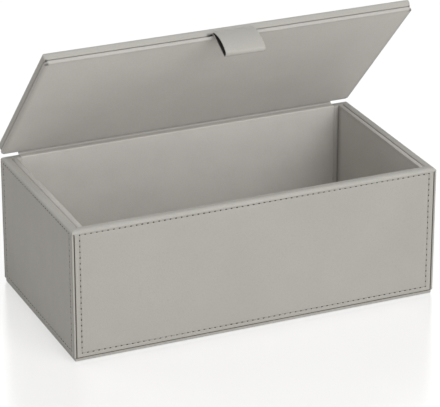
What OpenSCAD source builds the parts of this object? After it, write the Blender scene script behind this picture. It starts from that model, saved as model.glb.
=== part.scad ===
// Stationery box: boards covered in stitched leather, with a leather-hinged lid and a pull loop.
// Millimetres. The origin is the middle of the underside. X runs to the right, Y to the back
// and Z up. The lid is drawn shut and then turned open about its hinge.

/* [Box] */
// Width across the end panels
box_w = 240; // [200:1:300]
// Depth across the front and back panels
box_d = 125; // [100:1:180]
// Height of the rim above the table
box_h = 85; // [60:1:120]

/* [Walls] */
// Thickness of the boards in the walls
wall_board_t = 3.9; // [3:0.1:6]
// Thickness of the leather everywhere but in the pull loop
leather_t = 0.8; // [0.6:0.1:1]
// Rounding of the rim's outer edge
rim_outer_r = 2.4; // [1.8:0.1:2.6]
// Rounding of the rim's inner edge
rim_inner_r = 1.4; // [1.2:0.1:1.8]
// Width of the edge strip that shows at the front and back of each upright corner
strip_w = 1.2; // [1.1:0.1:2]
// Width of the edge strip that shows on the ends of the box
strip_d = 1.1; // [1.1:0.1:2]
// Rounding of the edge strips
strip_r = 0.5; // [0.2:0.1:0.7]
// Width of the open seams between the panels, the edge strips and the bottom
seam_w = 0.5; // [0.3:0.1:0.8]

/* [Bottom and floor] */
// Thickness of the card in the bottom
bottom_card_t = 1; // [0.6:0.1:2]
// How far the bottom stands in from the panels
bottom_inset = 0.7; // [0.4:0.1:1.5]
// Thickness of the floor board between the walls
floor_board_t = 3; // [2:0.5:5]
// Thickness of the card in the floor lining
floor_card_t = 1.5; // [1:0.1:3]

/* [End linings] */
// Thickness of the cards in the linings of the two ends
end_card_t = 1.9; // [1.5:0.1:4]
// Rounding of the linings' upper edge
end_lining_r = 1.2; // [1:0.1:1.6]
// Clearance round each lining
lining_gap = 0.15; // [0.05:0.05:0.4]

/* [Lid] */
// Thickness of the lid board
lid_board_t = 3.4; // [2.5:0.1:5]
// Thickness of the card in the lid lining
lid_card_t = 0.9; // [0.8:0.1:2]
// How far the lid stands in from the box all round
lid_inset = 0.2; // [0:0.1:0.5]
// Gap between the rim and the shut lid
lid_gap = 0.2; // [0.1:0.1:0.4]
// Rounding of the lid's upper edges
lid_top_r = 1.8; // [1.1:0.1:2]
// Rounding of the edges at the groove between the lid and its lining
lid_groove_r = 1.1; // [1.05:0.05:1.2]
// Rounding of the lid's corners in plan
lid_corner_r = 1.2; // [1:0.1:4]
// Width of the leather turned in under the lid board
turn_in = 15; // [10:1:20]
// How far the lid stands open
lid_open = 46; // [0:1:180]

/* [Hinge] */
// Distance of the hinge strip from each end of the box
hinge_end = 12; // [10:1:30]
// How far the fold lies behind the box
hinge_back = 0.9; // [0.9:0.1:1.5]
// How far the fold lies above the rim
hinge_up = 1.6; // [1.5:0.1:1.8]
// Radius of the fold
hinge_fold_r = 0.7; // [0.6:0.05:0.8]

/* [Pull loop] */
// Width of the loop
loop_w = 26; // [20:1:40]
// Thickness of the loop's leather
loop_t = 0.7; // [0.5:0.05:0.8]
// Radius of the curl where the loop leaves the lid
loop_curl_r = 2.6; // [2.2:0.1:3.4]
// Degrees that the curl turns
loop_curl_turn = 49; // [44:1:54]
// Radius of the loop's bulging front
loop_front_r = 27; // [22:0.5:30]
// Degrees that the front turns
loop_front_turn = 37; // [32:1:41]
// Radius of the turn at the loop's lower end
loop_nose_r = 1.8; // [1.4:0.1:2.2]
// How far its fold lies in front of the lid
loop_out = 0.9; // [0.9:0.1:1.5]
// Radius of the fold where the loop bends
loop_fold_r = 0.7; // [0.6:0.05:0.8]
// Depth of the loop's ends inside the lid
loop_root = 14; // [8:1:18]

/* [Stitching] */
// Length of one stitch
stitch_pitch = 3.6; // [3:0.1:6]
// Distance of the stitching from the ends of a panel
stitch_side = 5; // [4:0.5:10]
// Distance of the stitching from the rim
stitch_top = 3; // [3:0.5:10]
// Height of the lowest row above the table
stitch_low = 5; // [4:0.5:12]
// Distance of the lid's stitching from its edges
stitch_lid = 3.6; // [3:0.1:12]
// Width of the thread
thread_w = 0.5; // [0.3:0.05:0.7]
// Length of a stitch hole
stitch_hole = 0.7; // [0.4:0.1:1]
// Depth of the pressed seam that the thread lies in
press_depth = 0.45; // [0.3:0.05:0.5]

/* [Hidden] */
$fn = 48;
grey_leather = "#b3b0aa";
board_grey = "#5a554d";
card_grey = "#8d8a84";
thread_grey = "#a3a09a";
far = 1000;
fit = 0.1;
turning_gap = 0.05;
wall_t = wall_board_t + 2 * leather_t;
bottom_t = bottom_card_t + leather_t;
cover_low = bottom_t + seam_w;
floor_board_top = bottom_t + floor_board_t;
board_top = box_h - leather_t;
strip_top = box_h - rim_outer_r;
end_lining_t = end_card_t + 2 * leather_t;
room_w = box_w - 2 * wall_t;
room_d = box_d - 2 * wall_t;
lid_w = box_w - 2 * lid_inset;
lid_d = box_d - 2 * lid_inset;
lid_low = box_h + lid_gap;
lid_split = lid_low + lid_card_t + 2 * leather_t;
lid_top = lid_split + lid_board_t + 2 * leather_t;
lid_board_low = lid_split + leather_t;
hinge_l = box_w - 2 * hinge_end;
hinge_y = box_d / 2 + hinge_back;
hinge_z = box_h + hinge_up;
hinge_slot = hinge_l + 2 * fit;
loop_slot = loop_w + 2 * fit;
loop_z = lid_split + loop_t;
band_lap = 0.05;
thread_bed = 0.1;
thread_t = press_depth - thread_bed;

// Plane shapes
// A square corner less its quarter circle, for a shape that lies towards +X and +Y
module corner_waste(r) {
    difference() {
        translate([-1, -1]) square(r + 1);
        translate([r, r]) circle(r);
    }
}

module rounded_corner(at, turn, r) {
    if (r > 0) translate(at) rotate(turn) corner_waste(r);
}

// A rectangle from corner a to corner b with its own radius on each pair of corners
module rounded_box(a, b, low_r, high_r_left, high_r_right) {
    difference() {
        translate(a) square(b - a);
        rounded_corner(a, 0, low_r);
        rounded_corner([b.x, a.y], 90, low_r);
        rounded_corner(b, 180, high_r_right);
        rounded_corner([a.x, b.y], 270, high_r_left);
    }
}

// A straight strip from p to q
module strip(p, q, t) {
    way = q - p;
    translate(p) rotate(atan2(way.y, way.x)) translate([0, -t / 2]) square([norm(way), t]);
}

// Walls are drawn along X with their depth along Y, from the outer face inwards
module along_wall(length) {
    translate([-length / 2, 0, 0]) rotate([90, 0, 90]) linear_extrude(length) children();
}

module at_front(out = box_d / 2) translate([0, -out, 0]) children();
module at_back() rotate([0, 0, 180]) at_front() children();
module at_left() rotate([0, 0, -90]) at_front(box_w / 2) children();
module at_right() rotate([0, 0, 90]) at_front(box_w / 2) children();

// What lies between the mitres at both ends of a wall
module mitred(length) {
    intersection() {
        children();
        linear_extrude(2 * box_h) polygon([
            [-length / 2, 0], [length / 2, 0],
            [length / 2 - wall_t, wall_t], [wall_t - length / 2, wall_t]
        ]);
    }
}

module board_section() {
    rounded_box([leather_t, bottom_t], [wall_t - leather_t, board_top], 0,
        rim_outer_r - leather_t, rim_inner_r - leather_t);
}

module cover_section() {
    difference() {
        rounded_box([0, cover_low], [wall_t, box_h], 0, rim_outer_r, rim_inner_r);
        board_section();
        translate([wall_t / 2, 0]) square([wall_t, floor_board_top]);
    }
}

module wall_board(length) {
    color(board_grey) mitred(length) along_wall(length) board_section();
}

// The leather on one wall: outside, over the rim and down the inside
module wall_cover(length, strip_width) {
    color(grey_leather) difference() {
        mitred(length) along_wall(length) cover_section();
        for (side = [-1, 1])
            translate([side * length / 2, 0, strip_top / 2])
                cube([2 * (strip_width + seam_w), 2 * leather_t, strip_top], center = true);
        panel_seam(length) thread_path(press_depth, thread_w + 2 * fit, length);
    }
}

// Stitching. A loop of thread is drawn flat, with its upper side at Z 0, and stood on the panel
module panel_seam(length) {
    translate([0, 0, stitch_low + seam_height() / 2]) rotate([90, 0, 0]) children();
}

function seam_height() = box_h - stitch_top - stitch_low;

module frame_band(w, h, band, t) {
    difference() {
        cube([w + band, h + band, t], center = true);
        cube([w - band, h - band, t + 1], center = true);
    }
}

module thread_path(depth, band, length) {
    translate([0, 0, -depth / 2])
        frame_band(length - 2 * stitch_side, seam_height(), band, depth);
}

// Stitches as raised lengths of thread between holes, on a rectangle w by h
module thread_loop(w, h) {
    across = round(w / stitch_pitch);
    up = round(h / stitch_pitch);
    color(thread_grey) difference() {
        translate([0, 0, -press_depth + thread_t / 2]) frame_band(w, h, thread_w, thread_t);
        for (i = [0 : across], side = [-1, 1])
            stitch_notch([w * (i / across - 0.5), side * h / 2], 0);
        for (j = [1 : up - 1], side = [-1, 1])
            stitch_notch([side * w / 2, h * (j / up - 0.5)], 90);
    }
}

module stitch_notch(at, turn) {
    translate([at.x, at.y, 0]) rotate(turn)
        cube([stitch_hole, 2 * thread_w, 2 * (thread_bed + thread_t / 2)], center = true);
}

module wall_stitching(length) {
    panel_seam(length) thread_loop(length - 2 * stitch_side, seam_height());
}

// Bottom and floor
module bottom_slab(inset, top) {
    w = box_w - 2 * bottom_inset - 2 * inset;
    d = box_d - 2 * bottom_inset - 2 * inset;
    translate([-w / 2, -d / 2, inset]) cube([w, d, top - inset]);
}

module bottom_cover() {
    color(grey_leather) difference() {
        bottom_slab(0, bottom_t);
        bottom_slab(leather_t, far);
    }
}

module bottom_card() {
    color(card_grey) bottom_slab(leather_t, bottom_t);
}

module floor_board() {
    w = room_w + 2 * leather_t;
    d = room_d + 2 * leather_t;
    color(board_grey) translate([-w / 2, -d / 2, bottom_t]) cube([w, d, floor_board_t]);
}

module floor_slab(inset, top) {
    w = room_w - 2 * end_lining_t - 2 * lining_gap - 2 * inset;
    d = room_d - 2 * lining_gap - 2 * inset;
    translate([-w / 2, -d / 2, floor_board_top]) cube([w, d, top]);
}

module floor_card() {
    color(card_grey) floor_slab(leather_t, floor_card_t);
}

module floor_lining() {
    color(grey_leather) difference() {
        floor_slab(0, floor_card_t + leather_t);
        floor_slab(leather_t, floor_card_t);
    }
}

// Walls
module front_board() at_front() wall_board(box_w);
module back_board() at_back() wall_board(box_w);
module left_board() at_left() wall_board(box_d);
module right_board() at_right() wall_board(box_d);
module front_cover() at_front() wall_cover(box_w, strip_w);
module left_cover() at_left() wall_cover(box_d, strip_d);
module right_cover() at_right() wall_cover(box_d, strip_d);

// The hinge strip takes the place of the back cover's leather on the rim and inside
module back_cover() {
    difference() {
        at_back() wall_cover(box_w, strip_w);
        color(grey_leather) at_back() along_wall(hinge_slot) hinge_bed();
    }
}

module hinge_bed() {
    translate([-1, board_top]) square([wall_t + 2, 2 * leather_t]);
    translate([wall_t - leather_t, 0]) square([2 * leather_t, far]);
}

module front_stitching() at_front() wall_stitching(box_w);
module back_stitching() at_back() wall_stitching(box_w);
module left_stitching() at_left() wall_stitching(box_d);
module right_stitching() at_right() wall_stitching(box_d);

// An edge strip for the corner at the front left, from the bottom seam to the rim's rounding
module edge_strip() {
    color(grey_leather) translate([-box_w / 2, -box_d / 2, cover_low])
        linear_extrude(strip_top - cover_low) difference() {
            square([strip_w, strip_d]);
            rounded_corner([0, 0], 0, strip_r);
            translate([leather_t, leather_t]) square(strip_w + strip_d);
        }
}

module front_left_edge_strip() edge_strip();
module front_right_edge_strip() mirror([1, 0, 0]) edge_strip();
module back_left_edge_strip() mirror([0, 1, 0]) edge_strip();
module back_right_edge_strip() rotate(180) edge_strip();

// End linings: card with leather over its face and its upper edge, turned down behind it
module end_lining_section(inset) {
    rounded_box([wall_t + inset, floor_board_top], [wall_t + end_lining_t - inset, box_h - inset],
        0, end_lining_r - inset, end_lining_r - inset);
}

module lining_card() {
    color(card_grey) along_wall(room_d - 2 * lining_gap) end_lining_section(leather_t);
}

module lining_cover() {
    color(grey_leather) along_wall(room_d - 2 * lining_gap) difference() {
        end_lining_section(0);
        end_lining_section(leather_t);
    }
}

module left_lining_card() at_left() lining_card();
module right_lining_card() at_right() lining_card();
module left_lining() at_left() lining_cover();
module right_lining() at_right() lining_cover();

// Hinge. One leather strip in two leaves that meet at the fold
module hinge_strip_box_leaf() {
    fold = [-hinge_back, box_h + hinge_up];
    foot = [leather_t / 2, box_h - leather_t / 2];
    color(grey_leather) at_back() along_wall(hinge_l) {
        intersection() {
            cover_section();
            hinge_bed();
        }
        translate([fit * 3, board_top]) square([wall_t / 2, leather_t]);
        strip(foot, fold, leather_t);
        translate(fold) circle(hinge_fold_r);
    }
}

module hinge_strip_lid_leaf() {
    fold = [-hinge_back, box_h + hinge_up];
    edge = [lid_inset, lid_split + leather_t / 2];
    color(grey_leather) opened() at_back() along_wall(hinge_l) difference() {
        union() {
            translate([lid_inset, lid_split]) square([turn_in, leather_t]);
            translate(edge) circle(leather_t / 2);
            strip(fold, edge, leather_t);
        }
        translate(fold) circle(hinge_fold_r + turning_gap);
    }
}

// Lid, drawn shut
module opened() {
    translate([0, hinge_y, hinge_z]) rotate([-lid_open, 0, 0])
        translate([0, -hinge_y, -hinge_z]) children();
}

// A slab with its upper, lower and plan corners rounded, drawn in by inset on every side
module slab(low, high, low_r, high_r, inset) {
    w = lid_w - 2 * inset;
    d = lid_d - 2 * inset;
    a = low + inset;
    b = high - inset;
    intersection() {
        along_wall(w) rounded_box([-d / 2, a], [d / 2, b], low_r - inset, high_r - inset,
            high_r - inset);
        rotate([0, 0, 90]) along_wall(d) rounded_box([-w / 2, a], [w / 2, b], low_r - inset,
            high_r - inset, high_r - inset);
        linear_extrude(high) plan_outline(w, d, lid_corner_r - inset);
    }
}

module plan_outline(w, d, r) {
    rounded_box([-w / 2, -d / 2], [w / 2, d / 2], r, r, r);
}

module lid_slab(inset) slab(lid_split, lid_top, lid_groove_r, lid_top_r, inset);
module lid_lining_slab(inset) slab(lid_low, lid_split, lid_groove_r, lid_groove_r, inset);

module lid_board() {
    color(board_grey) opened() difference() {
        lid_slab(leather_t);
        loop_slot_cut();
    }
}

module lid_cover() {
    color(grey_leather) opened() difference() {
        lid_slab(0);
        lid_slab(leather_t);
        translate([turn_in - lid_w / 2, turn_in - lid_d / 2, lid_split - 1])
            cube([lid_w - 2 * turn_in, lid_d - 2 * turn_in, leather_t + 2]);
        translate([-hinge_slot / 2, lid_d / 2 - turn_in, lid_split - 1])
            cube([hinge_slot, 2 * turn_in, leather_t + 1]);
        loop_slot_cut();
        translate([0, 0, lid_top - press_depth / 2]) lid_seam(thread_w + 2 * fit, press_depth + fit);
    }
}

// Room for the ends of the pull loop between the lid board and the lining
module loop_slot_cut() {
    translate([-loop_slot / 2, -lid_d / 2 - turn_in, lid_split - 1])
        cube([loop_slot, 2 * turn_in, 2 * loop_t + 1]);
}

module lid_seam(band, t) frame_band(lid_w - 2 * stitch_lid, lid_d - 2 * stitch_lid, band, t);

module lid_stitching() {
    opened() translate([0, 0, lid_top]) thread_loop(lid_w - 2 * stitch_lid, lid_d - 2 * stitch_lid);
}

module lid_lining_card() {
    color(card_grey) opened() lid_lining_slab(leather_t);
}

module lid_lining() {
    color(grey_leather) opened() difference() {
        lid_lining_slab(0);
        lid_lining_slab(leather_t);
    }
}

// Pull loop. A strip folded on itself, with both ends held in the groove of the lid
module at_lid_front() translate([0, -lid_d / 2, 0]) children();

module pull_loop_root() {
    color(grey_leather) opened() at_lid_front() along_wall(loop_w) difference() {
        translate([-loop_out, lid_split]) square([loop_root + loop_out, 2 * loop_t]);
        translate([-loop_out, loop_z]) circle(loop_fold_r + turning_gap);
        translate([-far - loop_out, 0]) square(far);
    }
}

// The loop turns out of the lid, bulges down its front, turns at its lower end and runs back up
module pull_loop() {
    fold = [-loop_out, loop_z];
    front_start = 180 + loop_curl_turn;
    nose_start = front_start + loop_front_turn;
    curl = fold + loop_curl_r * left_of(180);
    front = curl + (loop_front_r - loop_curl_r) * left_of(front_start);
    nose = front + (loop_nose_r - loop_front_r) * left_of(nose_start);
    back = nose - fold;
    reach = norm(back);
    back_turn = atan2(-back.y, -back.x) + asin(loop_nose_r / reach);
    back_start = nose - loop_nose_r * left_of(back_turn);
    color(grey_leather) opened() at_lid_front() along_wall(loop_w) {
        translate(fold) circle(loop_fold_r);
        arc_band(curl, loop_curl_r, 180, front_start);
        arc_band(front, loop_front_r, front_start, nose_start);
        arc_band(nose, loop_nose_r, nose_start, 360 + back_turn);
        strip(back_start, fold, loop_t);
    }
}

// The way to the left of a heading
function left_of(heading) = [-sin(heading), cos(heading)];

// A band of leather that turns left round a centre, from one heading to another. It laps a little
// over the bands before and after it
module arc_band(centre, r, start, end) {
    lap = band_lap / r * 180 / PI;
    first = start - lap;
    turn = end - start + 2 * lap;
    translate(centre) intersection() {
        difference() {
            circle(r + loop_t / 2);
            circle(r - loop_t / 2);
        }
        polygon(concat([[0, 0]],
            [for (i = [0 : 3]) -4 * r * left_of(first + turn * i / 3)]));
    }
}

bottom_cover();
bottom_card();
floor_board();
floor_card();
floor_lining();
front_board();
back_board();
left_board();
right_board();
front_cover();
back_cover();
left_cover();
right_cover();
front_stitching();
back_stitching();
left_stitching();
right_stitching();
front_left_edge_strip();
front_right_edge_strip();
back_left_edge_strip();
back_right_edge_strip();
left_lining_card();
right_lining_card();
left_lining();
right_lining();
hinge_strip_box_leaf();
hinge_strip_lid_leaf();
lid_board();
lid_cover();
lid_stitching();
lid_lining_card();
lid_lining();
pull_loop_root();
pull_loop();
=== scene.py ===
"""Stationery box in stitched grey leather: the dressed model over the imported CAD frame.

Sizes are millimetres with the lid shut, and become metres in piece(). They are those of part.scad,
apart from some roundings and gaps that differ by tenths of a millimetre.
"""

import math
import random

import bmesh
import bpy
import numpy as np
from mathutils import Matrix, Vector


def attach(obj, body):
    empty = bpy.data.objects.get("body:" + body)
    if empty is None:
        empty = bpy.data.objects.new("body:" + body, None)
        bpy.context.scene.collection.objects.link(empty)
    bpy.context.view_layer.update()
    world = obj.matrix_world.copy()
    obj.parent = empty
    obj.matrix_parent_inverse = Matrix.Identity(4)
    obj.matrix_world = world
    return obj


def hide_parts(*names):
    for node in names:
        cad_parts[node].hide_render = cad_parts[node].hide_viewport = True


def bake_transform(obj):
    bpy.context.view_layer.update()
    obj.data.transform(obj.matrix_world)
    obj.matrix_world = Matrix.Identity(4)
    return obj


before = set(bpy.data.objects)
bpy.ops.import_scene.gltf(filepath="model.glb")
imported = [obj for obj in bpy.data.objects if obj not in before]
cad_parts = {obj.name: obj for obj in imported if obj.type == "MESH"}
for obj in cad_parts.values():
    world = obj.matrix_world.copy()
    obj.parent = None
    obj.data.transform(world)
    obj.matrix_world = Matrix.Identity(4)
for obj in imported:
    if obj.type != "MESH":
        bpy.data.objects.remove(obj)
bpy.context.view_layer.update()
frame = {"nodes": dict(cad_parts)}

# Box
MM = 0.001
BOX_W, BOX_D, BOX_H = 240.0, 125.0, 85.0
LEATHER = 0.8
WALL_T = 5.5
RIM_OUTER_R, RIM_INNER_R = 2.4, 0.7
STRIP_W, STRIP_D, STRIP_R, STRIP_END_R, SEAM = 1.2, 1.1, 0.5, 0.3, 0.65
COVER_LOW = 2.4
STRIP_TOP = BOX_H - RIM_OUTER_R
BOTTOM_T, BOTTOM_INSET = 1.75, 0.6
FLOOR_LOW, FLOOR_TOP = 4.8, 7.1
END_LINING_T, LINING_GAP = 3.5, 0.15
CREST_R_RIM, CREST_R_ROOM = 1.6, 0.5
# Rounding at the ends of a skin, gap at the mitred corners of the rim, and where it starts to close
SKIN_EDGE_R, MITRE_GAP, MITRE_REACH = 0.45, 0.04, 9.0

# Lid, with the heights it has when it is shut
LID_W, LID_D = 239.6, 124.6
LID_LOW, LID_SPLIT, LID_TOP = 85.2, 87.7, 92.7
LID_TOP_R, LID_GROOVE_R, LID_CORNER_R = 1.8, 0.65, 1.2
LINING_EDGE_R, SLAB_LEATHER = 0.6, 0.6
CREVICE_DEPTH, CREVICE_HALF = 1.9, 0.16
TURN_IN = 15.0
LID_OPEN = 46.0
HINGE_Y, HINGE_Z, HINGE_HALF = 63.4, 86.6, 108.0

# Pull loop
LOOP_W, LOOP_T, LOOP_OUT, LOOP_ROOT = 26.0, 0.7, 0.9, 14.0
LOOP_CURL_R, LOOP_CURL_TURN = 2.6, 49.0
LOOP_FRONT_R, LOOP_FRONT_TURN = 27.0, 37.0
LOOP_NOSE_R, LOOP_DARK_LAYER = 1.8, 0.12
LOOP_FLARE, LOOP_FLARE_REACH = 0.25, 7.0

# Stitching
PITCH = 3.6
STITCH_SIDE, STITCH_TOP, STITCH_LOW, STITCH_LID = 5.0, 3.0, 5.0, 3.6
THREAD_R = 0.26
GROOVE_DEPTH, GROOVE_HALF = 0.22, 0.42
PILLOW_DEPTH, PILLOW_HALF = 0.1, 2.4
SEAM_LOW = GROOVE_DEPTH + PILLOW_DEPTH
STITCH_GAP, STITCH_DIP, STITCH_SLANT, STITCH_SUNK = 0.58, 0.62, 0.08, 0.04
THREAD_RINGS, THREAD_SIDES, PIT_SIDES = 8, 7, 10
PIT_TOP, PIT_DEPTH, PIT_LONG, PIT_WIDE = 0.1 - SEAM_LOW, 0.12, 0.66, 0.43

# How far the leather's surfaces waver
WALL_WAVES, SLAB_WAVES, LINING_WAVES, LOOP_WAVES = 0.07, 0.06, 0.09, 0.05

# Wear and painted light: paler above 0, from wear and from painted light, and darker below 0 as painted
# shade
# Worn pale rims and lid edges, corner strips worn and painted as a highlight, lining edges in painted
# shade
STRIP_WEAR_AND_HIGHLIGHT, RIM_RUB, LID_EDGE_RUB, LINING_EDGE_SHADE = 0.7, 0.25, 0.3, -0.28
# Painted shade over the hinge strip's fold, and painted light on its part in the box
HINGE_FOLD_SHADE, HINGE_BOX_PART_LIGHT = -0.55, 0.9
# Painted light over the pull loop, and a painted highlight towards its lower end
LOOP_LIGHT, LOOP_LOW_HIGHLIGHT = 0.3, 0.4
# Painted shade at the inside corners of the walls and the linings, and where a lining meets the rim
WALL_CORNER_SHADE, LINING_CORNER_SHADE, RIM_GROOVE_SHADE = 0.75, 0.8, 0.5
# Darkening of the lid: its groove, its edge at the hinge, beside the loop, its folds, and the most
GROOVE_SHADOW, HINGE_SHADOW, LOOP_SHADOW, FOLD_SHADOW, SHADOW_MOST = 0.2, 0.25, 2.5, 1.3, 1.3

# Camera, fitted to the photograph
CAMERA_AT = (-0.6039, -1.3817, 0.7153)
CAMERA_TURN, CAMERA_DOWN = -23.67, 23.58
LENS = 216.17


# Points and faces
def arc(centre, radius, start, end, steps):
    """Points on an arc. The angles are degrees from the first axis towards the second."""
    turns = np.radians(np.linspace(start, end, steps + 1))
    return [(centre[0] + radius * math.cos(t), centre[1] + radius * math.sin(t)) for t in turns]


def near(values, at, half, steps):
    """Adds close stations round one value."""
    return sorted(set(values) | {round(at + half * i / steps, 4) for i in range(-steps, steps + 1)})


def spread(low, high, gap):
    """Even stations from low to high, about gap apart."""
    count = max(1, round((high - low) / gap))
    return [round(float(v), 4) for v in np.linspace(low, high, count + 1)]


def thin_out(values, least=0.04):
    """Drops stations that nearly repeat the one before."""
    kept = [values[0]]
    for v in values[1:]:
        if v - kept[-1] > least:
            kept.append(v)
    kept[-1] = values[-1]
    return kept


def waves(u, v, seed, length=60.0):
    """Slow unevenness from -1 to 1 over two coordinates in millimetres."""
    rng = random.Random(seed)
    total = np.zeros(np.broadcast(u, v).shape)
    for _ in range(5):
        turn, phase = rng.uniform(0, math.pi), rng.uniform(0, 2 * math.pi)
        k = 2 * math.pi / (length * rng.uniform(0.6, 1.7))
        total = total + np.sin(k * (u * math.cos(turn) + v * math.sin(turn)) + phase)
    return total / 5


def fade(distance, width, power=2):
    """1 at no distance, falling away over the width. A higher power falls more sharply."""
    return np.exp(-((distance / width) ** power))


def dent(distance):
    """Depth of the pressed seam, with a softer hollow round it."""
    return GROOVE_DEPTH * fade(distance, GROOVE_HALF) + PILLOW_DEPTH * fade(distance, PILLOW_HALF)


def roll_off(distance, radius):
    """How far a surface drops at this distance inside a rounded edge."""
    inside = np.clip(radius - distance, 0, radius)
    return radius - np.sqrt(radius**2 - inside**2)


def frame_distance(u, v, half_u, low_v, high_v):
    """Distance to the outline of a rectangle."""
    past_u = np.maximum(np.abs(u) - half_u, 0)
    past_v = np.maximum(np.maximum(low_v - v, v - high_v), 0)
    inside = np.minimum(half_u - np.abs(u), np.minimum(v - low_v, high_v - v))
    return np.where(inside > 0, inside, np.hypot(past_u, past_v))


def shell(outer, inner, keep=None, loop=False, cap=False):
    """A closed skin between two grids of rows and columns. A loop's columns meet their start, and
    a cap closes its last row."""
    rows, cols = outer.shape[:2]
    count = rows * cols
    across = cols if loop else cols - 1
    keep = np.ones((rows - 1, across), bool) if keep is None else keep

    def at(r, c, side):
        return side * count + r * cols + c % cols

    def kept(r, c):
        c = c % cols if loop else c
        return 0 <= r < rows - 1 and 0 <= c < across and keep[r, c]

    faces = []
    for r in range(rows - 1):
        for c in range(across):
            if not keep[r, c]:
                continue
            ring = [(r, c), (r, c + 1), (r + 1, c + 1), (r + 1, c)]
            faces.append([at(*p, 0) for p in ring])
            faces.append([at(*p, 1) for p in reversed(ring)])
            beyond = [kept(r - 1, c), kept(r, c + 1), kept(r + 1, c), kept(r, c - 1)]
            if cap and r == rows - 2:
                beyond[2] = True
            for i, joined in enumerate(beyond):
                a, b = ring[i], ring[(i + 1) % 4]
                if not joined:
                    faces.append([at(*b, 0), at(*a, 0), at(*a, 1), at(*b, 1)])
    if cap:
        last = [(rows - 1, c) for c in range(cols)]
        faces.append([at(*p, 0) for p in last])
        faces.append([at(*p, 1) for p in reversed(last)])
    return np.concatenate([outer.reshape(-1, 3), inner.reshape(-1, 3)]), faces


def tube_faces(start, rings, sides):
    """Faces of a closed tube whose points, from start on, go round it once a ring."""
    faces = []
    for k in range(rings):
        for j in range(sides):
            p, q = start + k * sides + j, start + k * sides + (j + 1) % sides
            faces.append([p, q, q + sides, p + sides])
    faces.append([start + j for j in range(sides)][::-1])
    faces.append([start + rings * sides + j for j in range(sides)])
    return faces


def piece(name, points, faces, material, nodes=(), wear_and_painted_light=None, sharp=38.0):
    """A mesh object in metres that stands for CAD nodes. Its wear and light values say how far each
    point is worn pale, painted lighter or painted with shade, and edges sharper than sharp degrees stay
    hard."""
    used = sorted({i for f in faces for i in f})
    renumber = {old: new for new, old in enumerate(used)}
    mesh = bpy.data.meshes.new(name)
    mesh.from_pydata(
        (np.asarray(points)[used] * MM).tolist(), [], [[renumber[i] for i in f] for f in faces]
    )
    work = bmesh.new()
    work.from_mesh(mesh)
    bmesh.ops.recalc_face_normals(work, faces=work.faces)
    work.to_mesh(mesh)
    work.free()
    mesh.polygons.foreach_set("use_smooth", [True] * len(mesh.polygons))
    mesh.set_sharp_from_angle(angle=math.radians(sharp))
    # The attribute holds wear, painted light and painted shade for the leather
    if wear_and_painted_light is not None:
        wear = mesh.attributes.new("wear_and_painted_light", "FLOAT", "POINT")
        wear.data.foreach_set("value", np.asarray(wear_and_painted_light, np.float32)[used])
    mesh.materials.append(material)
    obj = bpy.data.objects.new(name, mesh)
    bpy.context.scene.collection.objects.link(obj)
    if nodes:
        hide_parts(*nodes)
    return obj


def opened(points):
    """Points of the shut lid, turned open about the hinge."""
    a = math.radians(LID_OPEN)
    p = np.array(points, float)
    y, z = p[..., 1] - HINGE_Y, p[..., 2] - HINGE_Z
    p[..., 1] = y * math.cos(a) + z * math.sin(a) + HINGE_Y
    p[..., 2] = -y * math.sin(a) + z * math.cos(a) + HINGE_Z
    return p


# Walls
WALLS = {
    "front": (BOX_W, STRIP_W, lambda x, d: (x, d - BOX_D / 2)),
    "back": (BOX_W, STRIP_W, lambda x, d: (-x, BOX_D / 2 - d)),
    "left": (BOX_D, STRIP_D, lambda x, d: (d - BOX_W / 2, -x)),
    "right": (BOX_D, STRIP_D, lambda x, d: (BOX_W / 2 - d, x)),
}
ARC_OUT = RIM_OUTER_R * math.pi / 2
FLAT = WALL_T - RIM_OUTER_R - RIM_INNER_R
ARC_IN = RIM_INNER_R * math.pi / 2
SKIN_INSIDE = STRIP_TOP + ARC_OUT + FLAT + ARC_IN
SKIN_END = SKIN_INSIDE + BOX_H - RIM_INNER_R - FLOOR_LOW
HINGE_CUT = STRIP_TOP + RIM_OUTER_R * math.asin((RIM_OUTER_R - LEATHER) / RIM_OUTER_R)


def skin(s):
    """Point and outward direction, as depth and height, at this length up and over a wall."""
    if s <= STRIP_TOP:
        return (0.0, s), (-1.0, 0.0)
    s -= STRIP_TOP
    if s <= ARC_OUT:
        t = s / RIM_OUTER_R
        n = (-math.cos(t), math.sin(t))
        return (RIM_OUTER_R * (1 + n[0]), STRIP_TOP + RIM_OUTER_R * n[1]), n
    s -= ARC_OUT
    if s <= FLAT:
        return (RIM_OUTER_R + s, BOX_H), (0.0, 1.0)
    s -= FLAT
    if s <= ARC_IN:
        t = s / RIM_INNER_R
        n = (math.sin(t), math.cos(t))
        at = (WALL_T - RIM_INNER_R, BOX_H - RIM_INNER_R)
        return (at[0] + RIM_INNER_R * n[0], at[1] + RIM_INNER_R * n[1]), n
    return (WALL_T, BOX_H - RIM_INNER_R - (s - ARC_IN)), (1.0, 0.0)


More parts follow.
